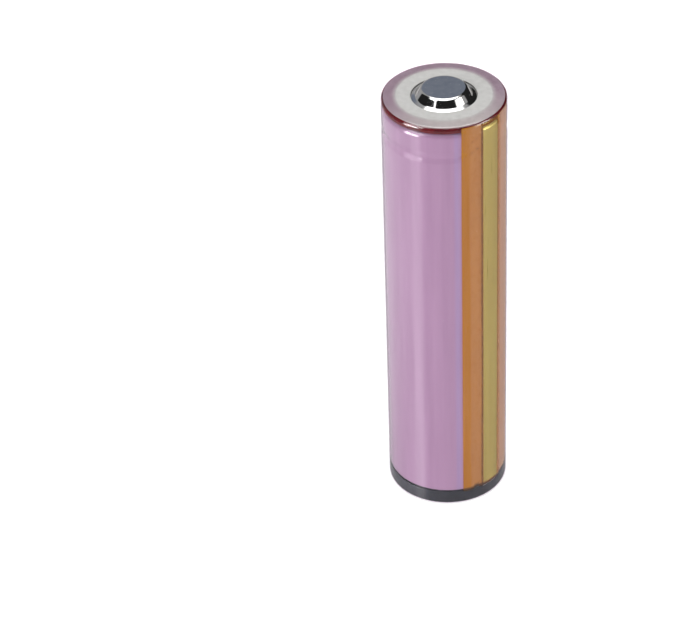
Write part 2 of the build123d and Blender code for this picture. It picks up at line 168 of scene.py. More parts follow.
def lathe(name, outline, turns, warp=None, crease=50):
    """A closed outline of (radius, height) points swept round the axis; warp moves a point at its angle."""
    mesh = bmesh.new()
    rings = []
    for k in range(turns):
        angle = 2 * pi * k / turns
        ring = []
        for point in outline:
            r, z = warp(angle, point.x, point.y) if warp else (point.x, point.y)
            ring.append(mesh.verts.new((r * cos(angle), r * sin(angle), z)))
        rings.append(ring)
    for ring, after in zip(rings, rings[1:] + rings[:1]):
        for k in range(len(outline)):
            j = (k + 1) % len(outline)
            mesh.faces.new((ring[k], after[k], after[j], ring[j]))
    return make_object(name, mesh, crease)


def slab(name, columns, rows, place, shades=None, crease=35):
    """A thin closed sheet. place(column, row, side) gives a point of its inner (0) or outer (1) face.
    shades(column, row) gives four values that the material reads as the colour attribute "shade"."""
    mesh = bmesh.new()
    layer = mesh.verts.layers.float_color.new("shade")
    grids = []
    for side in (0, 1):
        grid = []
        for column in columns:
            line = [mesh.verts.new(place(column, row, side)) for row in rows]
            for vert, row in zip(line, rows):
                vert[layer] = shades(column, row) if shades else (0, 0, 0, 0)
            grid.append(line)
        grids.append(grid)
    inner, outer = grids
    for grid in grids:
        for line, after in zip(grid, grid[1:]):
            for j in range(len(rows) - 1):
                mesh.faces.new((line[j], after[j], after[j + 1], line[j + 1]))
    for k in range(len(columns) - 1):
        for j in (0, len(rows) - 1):
            mesh.faces.new((inner[k][j], inner[k + 1][j], outer[k + 1][j], outer[k][j]))
    for k in (0, len(columns) - 1):
        for j in range(len(rows) - 1):
            mesh.faces.new((inner[k][j], inner[k][j + 1], outer[k][j + 1], outer[k][j]))
    return make_object(name, mesh, crease)


def spaced(start, end, count):
    return [start + (end - start) * k / count for k in range(count + 1)]


def ease(value, low, high):
    """0 below low, 1 above high, and a smooth rise between."""
    t = min(max((value - low) / (high - low), 0), 1)
    return t * t * (3 - 2 * t)


def hump(value, middle, width):
    return exp(-(((value - middle) / width) ** 2))


def off_strip(angle):
    """Angle away from the side strip, from -pi to pi."""
    return (angle - STRIP_ANGLE + pi) % (2 * pi) - pi


def ripple(angle, z, scale, seed):
    """Smooth noise over the round of the cell, about -0.5 to 0.5."""
    return noise.noise(Vector((scale * cos(angle), scale * sin(angle), z + seed)))


# ---------------------------------------------------------------- material helpers


MASK_PEAK = 0.8  # the most that an angle mask lets through


class Nodes:
    """Short ways to add nodes to a tree and to link them."""

    def __init__(self, tree):
        self.tree = tree

    def node(self, kind, **settings):
        made = self.tree.nodes.new(kind)
        for key, value in settings.items():
            setattr(made, key, value)
        return made

    def link(self, source, target):
        self.tree.links.new(source, target)

    def math(self, operation, *values):
        """A math node on numbers or on other nodes' outputs."""
        made = self.node("ShaderNodeMath", operation=operation)
        for socket, value in zip(made.inputs, values):
            if isinstance(value, (int, float)):
                socket.default_value = value
            else:
                self.link(value, socket)
        return made.outputs["Value"]

    def mix_colours(self, factor, a, b):
        """Colour a, going to colour b as the factor rises to 1."""
        made = self.node("ShaderNodeMix", data_type="RGBA")
        self.link(factor, made.inputs["Factor"])
        for socket, value in ((made.inputs[6], a), (made.inputs[7], b)):
            if isinstance(value, tuple):
                socket.default_value = (*value, 1)
            else:
                self.link(value, socket)
        return made.outputs[2]

    def mix_shaders(self, factor, a, b):
        """Shader a, going to shader b as the factor rises to 1."""
        made = self.node("ShaderNodeMixShader")
        for source, socket in zip((factor, a, b), made.inputs):
            self.link(source, socket)
        return made.outputs["Shader"]


class Paint(Nodes):
    """One node material: a principled shader and short ways to feed it."""

    def __init__(self, name):
        self.material = bpy.data.materials.new(name)
        self.material.use_nodes = True
        super().__init__(self.material.node_tree)
        self.shader = self.tree.nodes["Principled BSDF"]
        self.output = self.tree.nodes["Material Output"]
        self.place = self.node("ShaderNodeTexCoord").outputs["Object"]

    def noise(self, scale, detail=4, stretch=(1, 1, 1), roughness=0.55):
        """Noise over the object, scale in cells per metre; stretch squeezes it along an axis."""
        mapping = self.node("ShaderNodeMapping")
        mapping.inputs["Scale"].default_value = stretch
        made = self.node("ShaderNodeTexNoise")
        made.inputs["Scale"].default_value = scale
        made.inputs["Detail"].default_value = detail
        made.inputs["Roughness"].default_value = roughness
        self.link(self.place, mapping.inputs["Vector"])
        self.link(mapping.outputs["Vector"], made.inputs["Vector"])
        return made.outputs["Fac"]

    def ramp(self, source, stops):
        """Colours along a value: stops are (position, (r, g, b))."""
        made = self.node("ShaderNodeValToRGB")
        bar = made.color_ramp
        while len(bar.elements) < len(stops):
            bar.elements.new(0.5)
        for element, (position, colour) in zip(bar.elements, stops):
            element.position = position
            element.color = (*colour, 1)
        self.link(source, made.inputs["Fac"])
        return made.outputs["Color"]

    def spread(self, source, low, high, start=0.3, end=0.7):
        """The value between start and end, mapped to low and high."""
        made = self.node("ShaderNodeMapRange")
        for key, value in (("From Min", start), ("From Max", end), ("To Min", low), ("To Max", high)):
            made.inputs[key].default_value = value
        self.link(source, made.inputs["Value"])
        return made.outputs["Result"]

    def bump(self, height, depth, shader=None):
        """Relief of the given depth in millimetres."""
        made = self.node("ShaderNodeBump")
        made.inputs["Distance"].default_value = depth * MM
        self.link(height, made.inputs["Height"])
        self.link(made.outputs["Normal"], (shader or self.shader).inputs["Normal"])
        return made

    def surface(self, shader):
        """Gives the material this shader, and the material back."""
        self.link(shader, self.output.inputs["Surface"])
        return self.material

    def set(self, **values):
        for key, value in values.items():
            self.shader.inputs[key.replace("_", " ")].default_value = value

    def height_mask(self, low, high):
        """0 below one level and 1 above the other, in millimetres up the cell."""
        split = self.node("ShaderNodeSeparateXYZ")
        self.link(self.place, split.inputs["Vector"])
        return self.spread(split.outputs["Z"], 0, 1, low * MM, high * MM)

    def angle_mask(self, middle, reach, core):
        """MASK_PEAK within core degrees of an angle off the strip, and 0 beyond reach degrees of it."""
        angle = STRIP_ANGLE + radians(middle)
        flat = self.node("ShaderNodeVectorMath", operation="MULTIPLY")
        flat.inputs[1].default_value = (1, 1, 0)
        unit = self.node("ShaderNodeVectorMath", operation="NORMALIZE")
        dot = self.node("ShaderNodeVectorMath", operation="DOT_PRODUCT")
        dot.inputs[1].default_value = (cos(angle), sin(angle), 0)
        self.link(self.place, flat.inputs[0])
        self.link(flat.outputs["Vector"], unit.inputs[0])
        self.link(unit.outputs["Vector"], dot.inputs[0])
        return self.spread(dot.outputs["Value"], 0, MASK_PEAK, cos(radians(reach)), cos(radians(core)))

    def radius_mask(self, low, high):
        """0 inside one radius and 1 outside the other, in millimetres from the axis."""
        across = self.node("ShaderNodeVectorMath", operation="MULTIPLY")
        across.inputs[1].default_value = (1, 1, 0)
        length = self.node("ShaderNodeVectorMath", operation="LENGTH")
        self.link(self.place, across.inputs[0])
        self.link(across.outputs["Vector"], length.inputs[0])
        return self.spread(length.outputs["Value"], 0, 1, low * MM, high * MM)


def finish(name, dark, light, scale, rough, relief=0.004, metallic=0.0, stretch=(1, 1, 1), grain=3.0):
    """A material whose colour, roughness and surface all vary; it suits most of the pieces."""
    paint = Paint(name)
    paint.set(Metallic=metallic)
    tone = paint.noise(scale, 5, stretch)
    fine = paint.noise(scale * grain, 6, stretch, 0.65)
    paint.link(paint.ramp(tone, [(0.3, dark), (0.7, light)]), paint.shader.inputs["Base Color"])
    paint.link(paint.spread(fine, rough[0], rough[1]), paint.shader.inputs["Roughness"])
    paint.bump(fine, relief)
    return paint


# ---------------------------------------------------------------- materials that show


def clear_film():
    """Shrunk clear film: faint violet, glossy on both faces. It is duller and thicker where it is shrunk over
    an end; on the lip it is painted paler towards the front, as painted light."""
    lip_rise = 69.00, 69.22  # levels between which the wall's tint becomes the lip's
    lip_edge = 6.95, 7.65  # radii between which the lip's tint deepens
    gloss_facing, gloss_grazing = 0.035, 0.36  # mirrored share straight on, and what an edge adds
    paint = Paint("clear_film")
    see = paint.node("ShaderNodeBsdfTransparent")
    gloss = paint.node("ShaderNodeBsdfGlossy")
    facing = paint.node("ShaderNodeLayerWeight")
    facing.inputs["Blend"].default_value = 0.5
    edge = paint.math("POWER", facing.outputs["Facing"], 5.0)
    share = paint.math("MULTIPLY_ADD", edge, gloss_grazing, gloss_facing)
    streaks = paint.noise(900, 4, (1, 1, 0.05))
    side = paint.ramp(streaks, [(0.3, (0.955, 0.930, 0.955)), (0.7, (0.985, 0.965, 0.985))])
    lip = paint.ramp(paint.noise(700, 4), [(0.3, (0.850, 0.775, 0.825)), (0.7, (0.890, 0.82, 0.87))])
    # painted light: the lip's tint is made paler towards the front, where more light falls on it
    lip = paint.mix_colours(paint.angle_mask(-34.0, 90.0, 20.0), lip, (1.0, 0.985, 0.975))
    lip = paint.mix_colours(paint.radius_mask(*lip_edge), (0.995, 0.99, 0.99), lip)
    paint.link(paint.mix_colours(paint.height_mask(*lip_rise), side, lip), see.inputs["Color"])
    gloss.inputs["Color"].default_value = (1, 1, 1, 1)
    paint.link(paint.spread(paint.noise(250, 3), 0.06, 0.075), gloss.inputs["Roughness"])
    paint.bump(paint.noise(110, 2, (1, 1, 0.4)), 0.004, gloss)
    paint.tree.nodes.remove(paint.shader)
    return paint.surface(paint.mix_shaders(share, see.outputs["BSDF"], gloss.outputs["BSDF"]))


def pink_film():
    """The cell's own sleeve: glossy pink film with faint streaks, and a thin painted lilac fringe of light
    beside the tape."""
    paint = Paint("pink_film")
    streaks = paint.noise(520, 4, (1, 1, 0.06))
    clouds = paint.noise(90, 2)
    base = paint.ramp(streaks, [(0.25, (0.418, 0.257, 0.394)), (0.75, (0.430, 0.267, 0.406))])
    tint = paint.mix_colours(clouds, base, (0.426, 0.264, 0.400))
    # painted colour fringe: a thin lilac band of light beside the tape's edge, not a colour of the film
    tint = paint.mix_colours(paint.angle_mask(-35.2, 3.4, 1.0), tint, (0.375, 0.270, 0.455))
    paint.link(tint, paint.shader.inputs["Base Color"])
    paint.link(paint.spread(paint.noise(250, 3), 0.21, 0.23), paint.shader.inputs["Roughness"])
    paint.bump(paint.noise(180, 1, (1, 1, 2.0)), 0.0015)
    paint.set(Coat_Weight=1.0, Coat_Roughness=0.06)
    return paint.material


def amber_film():
    """Polyimide tape: see-through amber. Its "shade" says how far it is lifted (red) and where it lies on
    metal (green); blue is painted shade, near black along the strip's edges, in creases and at the torn end,
    and alpha a painted reflection that makes the tape paler right of the strip."""
    cover_flat, cover_lifted = 0.50, 0.42  # how much the tape hides of what is under it
    on_metal, at_painted_shade = 0.20, 0.88  # times that over the strip, and at least this where painted shade darkens it
    paint = Paint("amber_film")
    see = paint.node("ShaderNodeBsdfTransparent")
    shade = paint.node("ShaderNodeAttribute", attribute_name="shade")
    split = paint.node("ShaderNodeSeparateColor")
    paint.link(shade.outputs["Color"], split.inputs["Color"])
    lift, metal, painted_shade = split.outputs
    streaks = paint.noise(650, 4, (1, 1, 0.07))
    bubbles = paint.spread(paint.noise(1500, 3), 0.0, 0.35, 0.52, 0.66)
    deep = paint.ramp(streaks, [(0.3, (0.60, 0.255, 0.020)), (0.7, (0.70, 0.315, 0.035))])
    hazy = paint.mix_colours(bubbles, (0.78, 0.41, 0.150), (0.62, 0.28, 0.06))
    body = paint.mix_colours(lift, deep, hazy)
    # painted reflection: the tape is made paler and pinker right of the strip, where it catches light at a
    # glancing angle
    body = paint.mix_colours(shade.outputs["Alpha"], body, (0.86, 0.58, 0.43))
    # painted shade: the tape turns near black along the strip's edges, in creases and at its torn end
    body = paint.mix_colours(painted_shade, body, (0.06, 0.022, 0.004))
    paint.link(body, paint.shader.inputs["Base Color"])
    paint.link(paint.spread(streaks, 0.16, 0.26), paint.shader.inputs["Roughness"])
    paint.bump(streaks, 0.006)
    tint = paint.mix_colours(metal, (0.94, 0.82, 0.42), (0.945, 0.93, 0.69))
    paint.link(tint, see.inputs["Color"])
    cover = paint.spread(lift, cover_flat, cover_lifted, 0, 1)
    cover = paint.math("MULTIPLY", cover, paint.spread(metal, 1.0, on_metal, 0, 1))
    # where painted shade darkens the tape it also hides what is under it
    cover = paint.math("MAXIMUM", cover, paint.math("MULTIPLY", painted_shade, at_painted_shade))
    return paint.surface(paint.mix_shaders(cover, see.outputs["BSDF"], paint.shader.outputs["BSDF"]))


def nickel_strip():
    """Rolled nickel strip, with the roll's lines along it."""
    dark, light = (0.79, 0.80, 0.78), (0.84, 0.85, 0.83)
    return finish("nickel_strip", dark, light, 1300, (0.27, 0.31), 0.0001, 0.55, (1, 1, 0.02)).material


def nickel_plate():
    """Bright plated steel, with a faint cloudiness and fine scratches."""
    paint = finish("nickel_plate", (0.62, 0.62, 0.63), (0.72, 0.71, 0.70), 900, (0.05, 0.10), 0.0003, 1.0)
    return paint.material


def white_card():
    """A pressed paper washer, with fibres and a slightly rubbed surface."""
    paint = finish("white_card", (0.52, 0.515, 0.50), (0.60, 0.595, 0.58), 1100, (0.55, 0.75), 0.010, 0.0,
                   (1, 1, 1), 4.0)
    return paint.material


def red_fibre():
    """Vulcanised fibre: deep red, in layers along its edge."""
    paint = finish("red_fibre", (0.070, 0.003, 0.006), (0.16, 0.010, 0.014), 700, (0.30, 0.5), 0.004, 0.0,
                   (1, 1, 5.0))
    paint.set(Specular_IOR_Level=0.15)
    return paint.material


def dark_plastic():
    """Moulded plastic, near black with a blue cast."""
    paint = finish("dark_plastic", (0.015, 0.019, 0.026), (0.028, 0.033, 0.042), 800, (0.30, 0.46), 0.006)
    return paint.material


# ---------------------------------------------------------------- materials of the pieces inside


def board_laminate():
    """Green-masked glass laminate; the weave shows as a fine check."""
    paint = finish("board_laminate", (0.006, 0.055, 0.022), (0.012, 0.095, 0.040), 900, (0.22, 0.36))
    weave = paint.node("ShaderNodeTexWave", bands_direction="X")
    weave.inputs["Scale"].default_value = 900
    paint.link(paint.place, weave.inputs["Vector"])
    paint.bump(weave.outputs["Fac"], 0.004)
    return paint.material


PLAIN = {
    "chip_black": ((0.010, 0.010, 0.011), (0.030, 0.030, 0.032), 2500, (0.45, 0.65), {"relief": 0.006}),
    "ceramic_tan": ((0.30, 0.20, 0.11), (0.46, 0.33, 0.20), 3000, (0.4, 0.6), {}),
    "solder": ((0.48, 0.49, 0.50), (0.66, 0.66, 0.66), 2500, (0.2, 0.4), {"metallic": 1.0}),
    "grey_fibre": ((0.035, 0.032, 0.042), (0.070, 0.066, 0.078), 1500, (0.6, 0.8), {}),
    "can_steel": ((0.46, 0.46, 0.47), (0.60, 0.60, 0.60), 700, (0.18, 0.32),
                  {"metallic": 1.0, "stretch": (1, 1, 0.08)}),
    "gasket_plastic": ((0.45, 0.45, 0.42), (0.58, 0.57, 0.54), 900, (0.4, 0.55), {}),
    "fuse_polymer": ((0.012, 0.012, 0.013), (0.035, 0.035, 0.036), 1600, (0.5, 0.7), {}),
    "aluminium_sheet": ((0.62, 0.63, 0.64), (0.76, 0.76, 0.76), 900, (0.22, 0.4), {"metallic": 1.0}),
    "separator_film": ((0.66, 0.66, 0.64), (0.80, 0.80, 0.78), 1200, (0.4, 0.6), {}),
    "graphite": ((0.012, 0.012, 0.013), (0.045, 0.045, 0.048), 3500, (0.6, 0.8), {"relief": 0.012}),
    "cathode_oxide": ((0.015, 0.014, 0.013), (0.040, 0.036, 0.034), 3500, (0.65, 0.85), {"relief": 0.012}),
    "green_tape": ((0.010, 0.20, 0.075), (0.020, 0.30, 0.12), 800, (0.2, 0.35), {}),
}
OWN = {
    "clear_film": clear_film,
    "pink_film": pink_film,
    "amber_film": amber_film,
    "nickel_strip": nickel_strip,
    "nickel_plate": nickel_plate,
    "white_card": white_card,
    "red_fibre": red_fibre,
    "dark_plastic": dark_plastic,
    "board_laminate": board_laminate,
}
made_materials = {}


def material_of(slot):
    """The material of a slot, made when it is first asked for."""
    if slot not in made_materials:
        if slot in OWN:
            made_materials[slot] = OWN[slot]()
        else:
            *look, more = PLAIN[slot]
            made_materials[slot] = finish(slot, *look, **more).material
    return made_materials[slot]


# ---------------------------------------------------------------- the pieces that show


SLEEVE_WALL = 8.75, 9.05  # radii between which an end of the sleeve becomes its wall
TENT_RISE = 0.19  # how far the strip lifts the clear sleeve
TENT_EDGES = 9.0, 36.0  # degrees off the strip between which the sleeve comes down again
TENT_FOOT = 0.9, 2.9  # levels between which the rise grows
TENT_HEAD = 66.6, 69.0  # and between which it ends
SLEEVE_DIPS = [  # level, half width and depth of each: at the bead, on the crimp, under the fibre ring
    (BEAD_LEVEL + 0.35, 0.55, 0.085),
    (65.9, 1.0, 0.03),
    (68.1, 0.30, 0.022),
]


def sleeve_warp(angle, r, z):
    """Shrunk film: it follows the strip, sinks at the bead, and ends in slightly uneven lips."""
    tent = 1 - ease(abs(degrees(off_strip(angle))), *TENT_EDGES)
    rise = TENT_RISE * tent * ease(z, *TENT_FOOT) * (1 - ease(z, *TENT_HEAD))
    sink = sum(depth * hump(z, level, width) for level, width, depth in SLEEVE_DIPS)
    wall = ease(r, *SLEEVE_WALL)
    r += wall * (rise - (1 - 0.7 * tent) * sink)
    r += wall * 0.006 * (ripple(angle, z * 0.15, 2.5, 3.0) - 0.5)
    lip = 1 - ease(r, LIP_TOP + 0.1, LIP_TOP + 1.0)
    pucker = sin(31 * angle + 3 * ripple(angle, 0, 2, 9.0)) * ripple(angle, 0, 3, 17.0)
    pucker *= 0.010 * hump(r, 8.75, 0.45)
    if z > SLEEVE_HIGH / 2:
        crown = 0.05 * ease(r, 7.5, 8.7) * (1 - ease(r, 8.8, 9.2))
        return r + 0.07 * lip * ripple(angle, 0, 2.2, 30.0), z + pucker - 0.02 * lip - crown
    return r + 0.06 * lip * ripple(angle, 0, 2.2, 41.0), z + pucker + 0.02 * lip


def clear_sleeve():
    corners = [
        (LIP_TOP, SLEEVE_HIGH),
        (SLEEVE_RADIUS, SLEEVE_HIGH),
        (SLEEVE_RADIUS, SLEEVE_LOW),
        (LIP_BASE, SLEEVE_LOW),
    ]
    path = divided(rounded(corners, [0.65, 0.20], 10), 0.55)
    piece = lathe("clear_sleeve", ribbon(path, -GAUGE["sleeve"]), 300, sleeve_warp)
    return piece, "clear_film", ["clear_outer_sleeve"]


def pink_warp(angle, r, z):
    """Faint waves on the wall, dying out towards its ends, and an uneven edge to each lip."""
    wall = ease(r, 8.8, 9.0) * ease(z, 3.2, 5.0) * (1 - ease(z, 66.0, 67.2))
    r += 0.012 * wall * (ripple(angle, z * 0.2, 2.0, 5.0) - 0.5)
    lip = 1 - ease(r, 7.7, 8.5)
    return r + 0.08 * lip * ripple(angle, 0, 2.0, 51.0), z


def pink_sleeve():
    lip_top, lip_low = 7.60, 7.80  # inner edges of its lips
    dip, dip_half = 0.14, 0.95  # the film sinks this far into the bead, over this much above and below
    corners = [
        (lip_top, PINK_HIGH),
        (PINK_RADIUS, PINK_HIGH),
        (PINK_RADIUS, BEAD_LEVEL + dip_half),
        (PINK_RADIUS - dip, BEAD_LEVEL),
        (PINK_RADIUS, BEAD_LEVEL - dip_half),
        (PINK_RADIUS, PINK_LOW),
        (lip_low, PINK_LOW),
    ]
    path = divided(rounded(corners, [0.85, 1.2, 1.2, 1.2, 0.35], 10), 0.8)
    piece = lathe("pink_sleeve", ribbon(path, -GAUGE["pink"]), 240, pink_warp)
    return piece, "pink_film", ["pink_inner_sleeve"]


TAPE_TORN = 0.40  # height of its torn lower end, which hangs over the ring


def wave(x, y, seed):
    """Smooth noise over two directions, about -0.5 to 0.5."""
    return noise.noise(Vector((x, y, seed)))


def cover_tape_radius(angle, z):
    """Outside of the tape, at degrees off the strip: over the strip, down in a tent, and onto the sleeve."""
    away = abs(angle)
    tent = 1 - ease(away, 10.0, 14.6 + 0.5 * wave(z * 0.12, 0, 7.0))
    uneven = 0.004 * wave(angle * 0.2, z * 0.35, 2.0) * ease(away, 11.0, 15.0)
    return TAPE_SIDE + (TAPE_OVER - TAPE_SIDE) * tent - 0.002 + uneven


def crease_shade(angle, z, level, slope):
    """Painted shade along a shallow crease that rises across the lifted tape, left of the strip."""
    line = level + slope * (angle + 20)
    return hump(z, line, 0.16) * ease(angle, -30.0, -24.0) * (1 - ease(angle, -15.0, -12.0))


def cover_tape_shade(angle, z):
    """Lifted, on metal, painted shade, painted reflection: each from 0 to 1, at an angle in degrees off the
    strip's middle.
    """
    wander = 1.2 * wave(z * 0.10, 1.5, 0)
    lift = ease(angle, -24.5 + wander, -21.0 + wander) + 0.25 * wave(angle * 0.35, z * 0.08, 4.0)
    metal = ease(angle, -10.2, -9.2) * (1 - ease(angle, 8.8, 10.2))  # the strip reaches 9.5 degrees each way
    drift = 0.4 * wave(z * 0.09, 8.5, 0)
    # painted shade: a dark line along the strip's left edge, stronger near the top, and a fainter one along
    # its right edge
    painted_shade = 0.9 * hump(angle, -10.8 + 0.6 * drift, 0.95) * (0.85 + 0.15 * ease(z, 61.0, 65.5))
    painted_shade += 0.15 * hump(angle, 8.8 + drift, 1.6)
    torn = TAPE_LOW + TAPE_TORN
    painted_shade += 0.95 * (1 - ease(z, torn - 0.04, torn + 0.04))  # painted shade where it hangs over the ring
    # painted shade in two creases
    painted_shade += 0.20 * crease_shade(angle, z, 64.6, 0.075) + 0.14 * crease_shade(angle, z, 66.3, 0.10)
    # the last value is the painted reflection that makes the tape paler right of the strip
    return min(max(lift, 0), 1), metal, min(painted_shade, 1), ease(angle, 11.0, 17.0)


def tape_trim(angle):
    """How much shorter the tape is at its lower end: it was torn off unevenly."""
    torn = ease(angle, -20.5, -19.5)
    over_strip = ease(angle, -14.5, -13.5) * (1 - ease(angle, 13.5, 14.5))
    return 0.34 * torn - 0.22 * over_strip


def cover_tape():
    half = degrees(TAPE_HALF)
    columns = spaced(-half, -15, 18) + spaced(-14.6, 14.6, 48) + spaced(15, half, 18)
    torn = TAPE_LOW + TAPE_TORN
    rows = spaced(TAPE_LOW, torn, 6)[:-1] + spaced(torn, TAPE_HIGH, 150)

    def place(column, row, side):
        wander = 0.25 * wave(row * 0.05, column, 0) if abs(column) > half - 0.1 else 0
        away = column + wander
        r = cover_tape_radius(away, row) - (1 - side) * GAUGE["tape"]
        angle = STRIP_ANGLE + radians(away)
        z = row + tape_trim(column) * (1 - ease(row, TAPE_LOW, TAPE_LOW + 3))
        return r * cos(angle), r * sin(angle), z

    piece = slab("cover_tape", columns, rows, place, cover_tape_shade, 60)
    return piece, "amber_film", ["strip_cover_tape"]


def under_tape():
    inner = PINK_RADIUS + 0.005
    half = 2.2 / inner
    columns = spaced(-half, half, 24)
    rows = spaced(low_of("strip_under_tape"), high_of("strip_under_tape"), 80)

    def place(column, row, side):
        r = inner + side * GAUGE["tape"]
        angle = STRIP_ANGLE + column
        return r * cos(angle), r * sin(angle), row

    def shade(column, row):
        return 0.4, 0, 0, 0

    piece = slab("under_tape", columns, rows, place, shade)
    return piece, "amber_film", ["strip_under_tape"]


def side_strip():
    """Folded in over the top, down the side, in under the can, and down onto the board's edge."""
    end_top, end_board = 1.60, 6.10  # how near its two ends come to the axis
    turn_in, board_level = 7.60, 1.14
    corners = [
        (end_top, STRIP_HIGH),
        (STRIP_RADIUS, STRIP_HIGH),
        (STRIP_RADIUS, STRIP_LOW),
        (turn_in, STRIP_LOW),
        (turn_in, board_level),
        (end_board, board_level),
    ]
    outer = divided(rounded(corners, [0.55, 0.30, 0.15, 0.15], 8), 1.0)
    inner = shifted(outer, -GAUGE["strip"])
    half = STRIP_WIDTH / 2
    edge = half - 0.12  # its rolled edge starts here
    columns = [-half, -half + 0.04, *spaced(-edge, edge, 10), half - 0.04, half]

    def place(column, row, side):
        point = (inner, outer)[side][row]
        r = max(point.x, half + 0.05)
        angle = STRIP_ANGLE + asin(column / r)
        r -= 0.012 * ease(abs(column), edge, half) * (1 if side else -1)
        return r * cos(angle), r * sin(angle), point.y

    piece = slab("side_strip", columns, list(range(len(outer))), place)
    return piece, "nickel_strip", ["positive_strip"]


def fibre_ring():
    low, high = low_of("red_fibre_ring"), high_of("red_fibre_ring")
    inner, outer = 6.45, radius_of("red_fibre_ring")
    corners = [(inner, low), (inner, high), (outer, high), (outer, low)]
    outline = loop((7.7, low), corners, [0.04, 0.04, 0.22, 0.06], 5, 0.25)

    def warp(angle, r, z):
        return r - 0.012 * ease(r, 8.9, 9.0) * (ripple(angle, z * 1.5, 6.0, 61.0) + 0.5), z

    piece = lathe("fibre_ring", outline, 240, warp)
    return piece, "red_fibre", ["red_fibre_ring"]


def card_washer():
    low, high = low_of("top_white_washer"), high_of("top_white_washer")
    inner = 4.84
    outer = radius_of("top_white_washer") - 0.13  # clear of the sleeve's rounded corner
    corners = [(inner, low), (inner, high), (outer, high), (outer, low)]
    outline = loop((6.9, low), corners, [0.02, 0.05, 0.05, 0.02], 4, 0.3)

    def warp(angle, r, z):
        crown = 0.045 * ease(r, 7.3, 8.6) * ease(z, low + 0.05, high - 0.05)
        return r, z - crown - 0.006 * (ripple(angle, r * 0.4, 2.5, 71.0) + 0.5)

    piece = lathe("card_washer", outline, 240, warp)
    return piece, "white_card", ["top_white_washer"]


def button():
    """A flat top, a sloping wall that eases out at its foot, and a flange hidden under the washer."""
    high = high_of("positive_button")
    flange = low_of("positive_button") + GAUGE["button"]
    corners = [
        (0, high),
        (3.30, high),
        (4.15, 69.25),
        (4.90, 68.98),
        (5.45, flange),
        (6.20, flange),
    ]
    path = divided(rounded(corners, [0.58, 0.30, 0.40, 0.20], 12), 0.35)

    def warp(angle, r, z):
        dish = 0.010 * (1 - ease(r, 0.0, 3.0)) * ease(z, high - 0.4, high - 0.3)
        return r, z - dish

    outline = ribbon(path, -GAUGE["button"])
    for point in outline:
        point.x = max(point.x, 0)
    piece = lathe("button", outline, 192, warp)
    return piece, "nickel_plate", ["positive_button"]


def base_contact():
    low, high = low_of("negative_contact_plate"), high_of("negative_contact_plate")
    outer = radius_of("negative_contact_plate")
    path = [(0, low), (outer, low), (outer, high), (0, high)]
    outline = divided(rounded(path, [0.10, 0.02], 6), 0.4)
    piece = lathe("base_contact", outline, 192)
    return piece, "nickel_plate", ["negative_contact_plate"]


def housing():
    """The dark ring round the board, with its ledge and the notch that lets the strip in."""
    low, high = low_of("board_housing_ring"), high_of("board_housing_ring")
    outer = radius_of("board_housing_ring")
    wall, ledge = 8.58, 8.15
    ledge_low, ledge_high = 1.11, 1.56
    notch, notch_half = 2.12, degrees(asin(1.75 / 9))  # its floor, and half its width in degrees
    corners = [
        (wall, low),
        (outer, low),
        (outer, high),
        (wall, high),
        (wall, ledge_high),
        (ledge, ledge_high),
        (ledge, ledge_low),
        (wall, ledge_low),
    ]
    outline = loop((wall, 0.8), corners, [0.04, 0.14, 0.06, 0.04, 0, 0.03, 0.03, 0], 5, 0.2)

    def warp(angle, r, z):
        inside = 1 - ease(abs(degrees(off_strip(angle))), notch_half - 0.4, notch_half + 0.4)
        return r, z - max(z - notch, 0) * inside

    piece = lathe("board_housing", outline, 300, warp, 35)
    return piece, "dark_plastic", ["board_housing_ring"]


SHOWN = [
    clear_sleeve,
    pink_sleeve,
    cover_tape,
    under_tape,
    side_strip,
    fibre_ring,
    card_washer,
    button,
    base_contact,
    housing,
]


def add_shown():
    """Builds each piece that shows and lets it stand for its CAD node."""
    for build in SHOWN:
        piece, slot, nodes = build()
        piece.data.materials.append(material_of(slot))
        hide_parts(*nodes)
        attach(piece, "root")


def paint_cad_nodes():
    """Each CAD node gets the material of its slot; the ones that stay sealed inside keep their meshes."""
    for part in frame["record"]["subparts"]:
        data = frame["nodes"][part["node"]].data
        data.materials.clear()
        data.materials.append(material_of(part["material_slot"]))


# ---------------------------------------------------------------- camera, floor and light


CAMERA_DISTANCE = 428.75 * MM
CAMERA_AIM = 34.56 * MM  # the height it is aimed at before the small turn and pitch
CAMERA_LENS = 150.1
CAMERA_DOWN = radians(35.712)
CAMERA_TURN = radians(2.145)
CAMERA_PITCH = radians(0.484)
CAMERA_ROLL = radians(-0.60)


def swung(a, b, angle):
    """Two axes at right angles, swung in their own plane: the first towards the second."""
    return cos(angle) * a + sin(angle) * b, cos(angle) * b - sin(angle) * a


def add_camera():
    """Looks down at the cell from in front, turned and tilted a little off its middle."""
    right = Vector((1, 0, 0))
    ahead = Vector((0, cos(CAMERA_DOWN), -sin(CAMERA_DOWN)))
    up = Vector((0, sin(CAMERA_DOWN), cos(CAMERA_DOWN)))
    place = Vector((0, 0, CAMERA_AIM)) - CAMERA_DISTANCE * ahead
    right, ahead = swung(right, ahead, CAMERA_TURN)
    up, ahead = swung(up, ahead, CAMERA_PITCH)
    right, up = swung(right, up, CAMERA_ROLL)
    data = bpy.data.cameras.new("camera")
    data.sensor_width = 36
    data.sensor_fit = "HORIZONTAL"
    data.lens = CAMERA_LENS
    data.clip_start = 0.01
    camera = bpy.data.objects.new("camera", data)
    turned = Matrix((right, up, -ahead)).transposed().to_4x4()
    camera.matrix_world = Matrix.Translation(place) @ turned
    bpy.context.scene.collection.objects.link(camera)
    bpy.context.scene.camera = camera


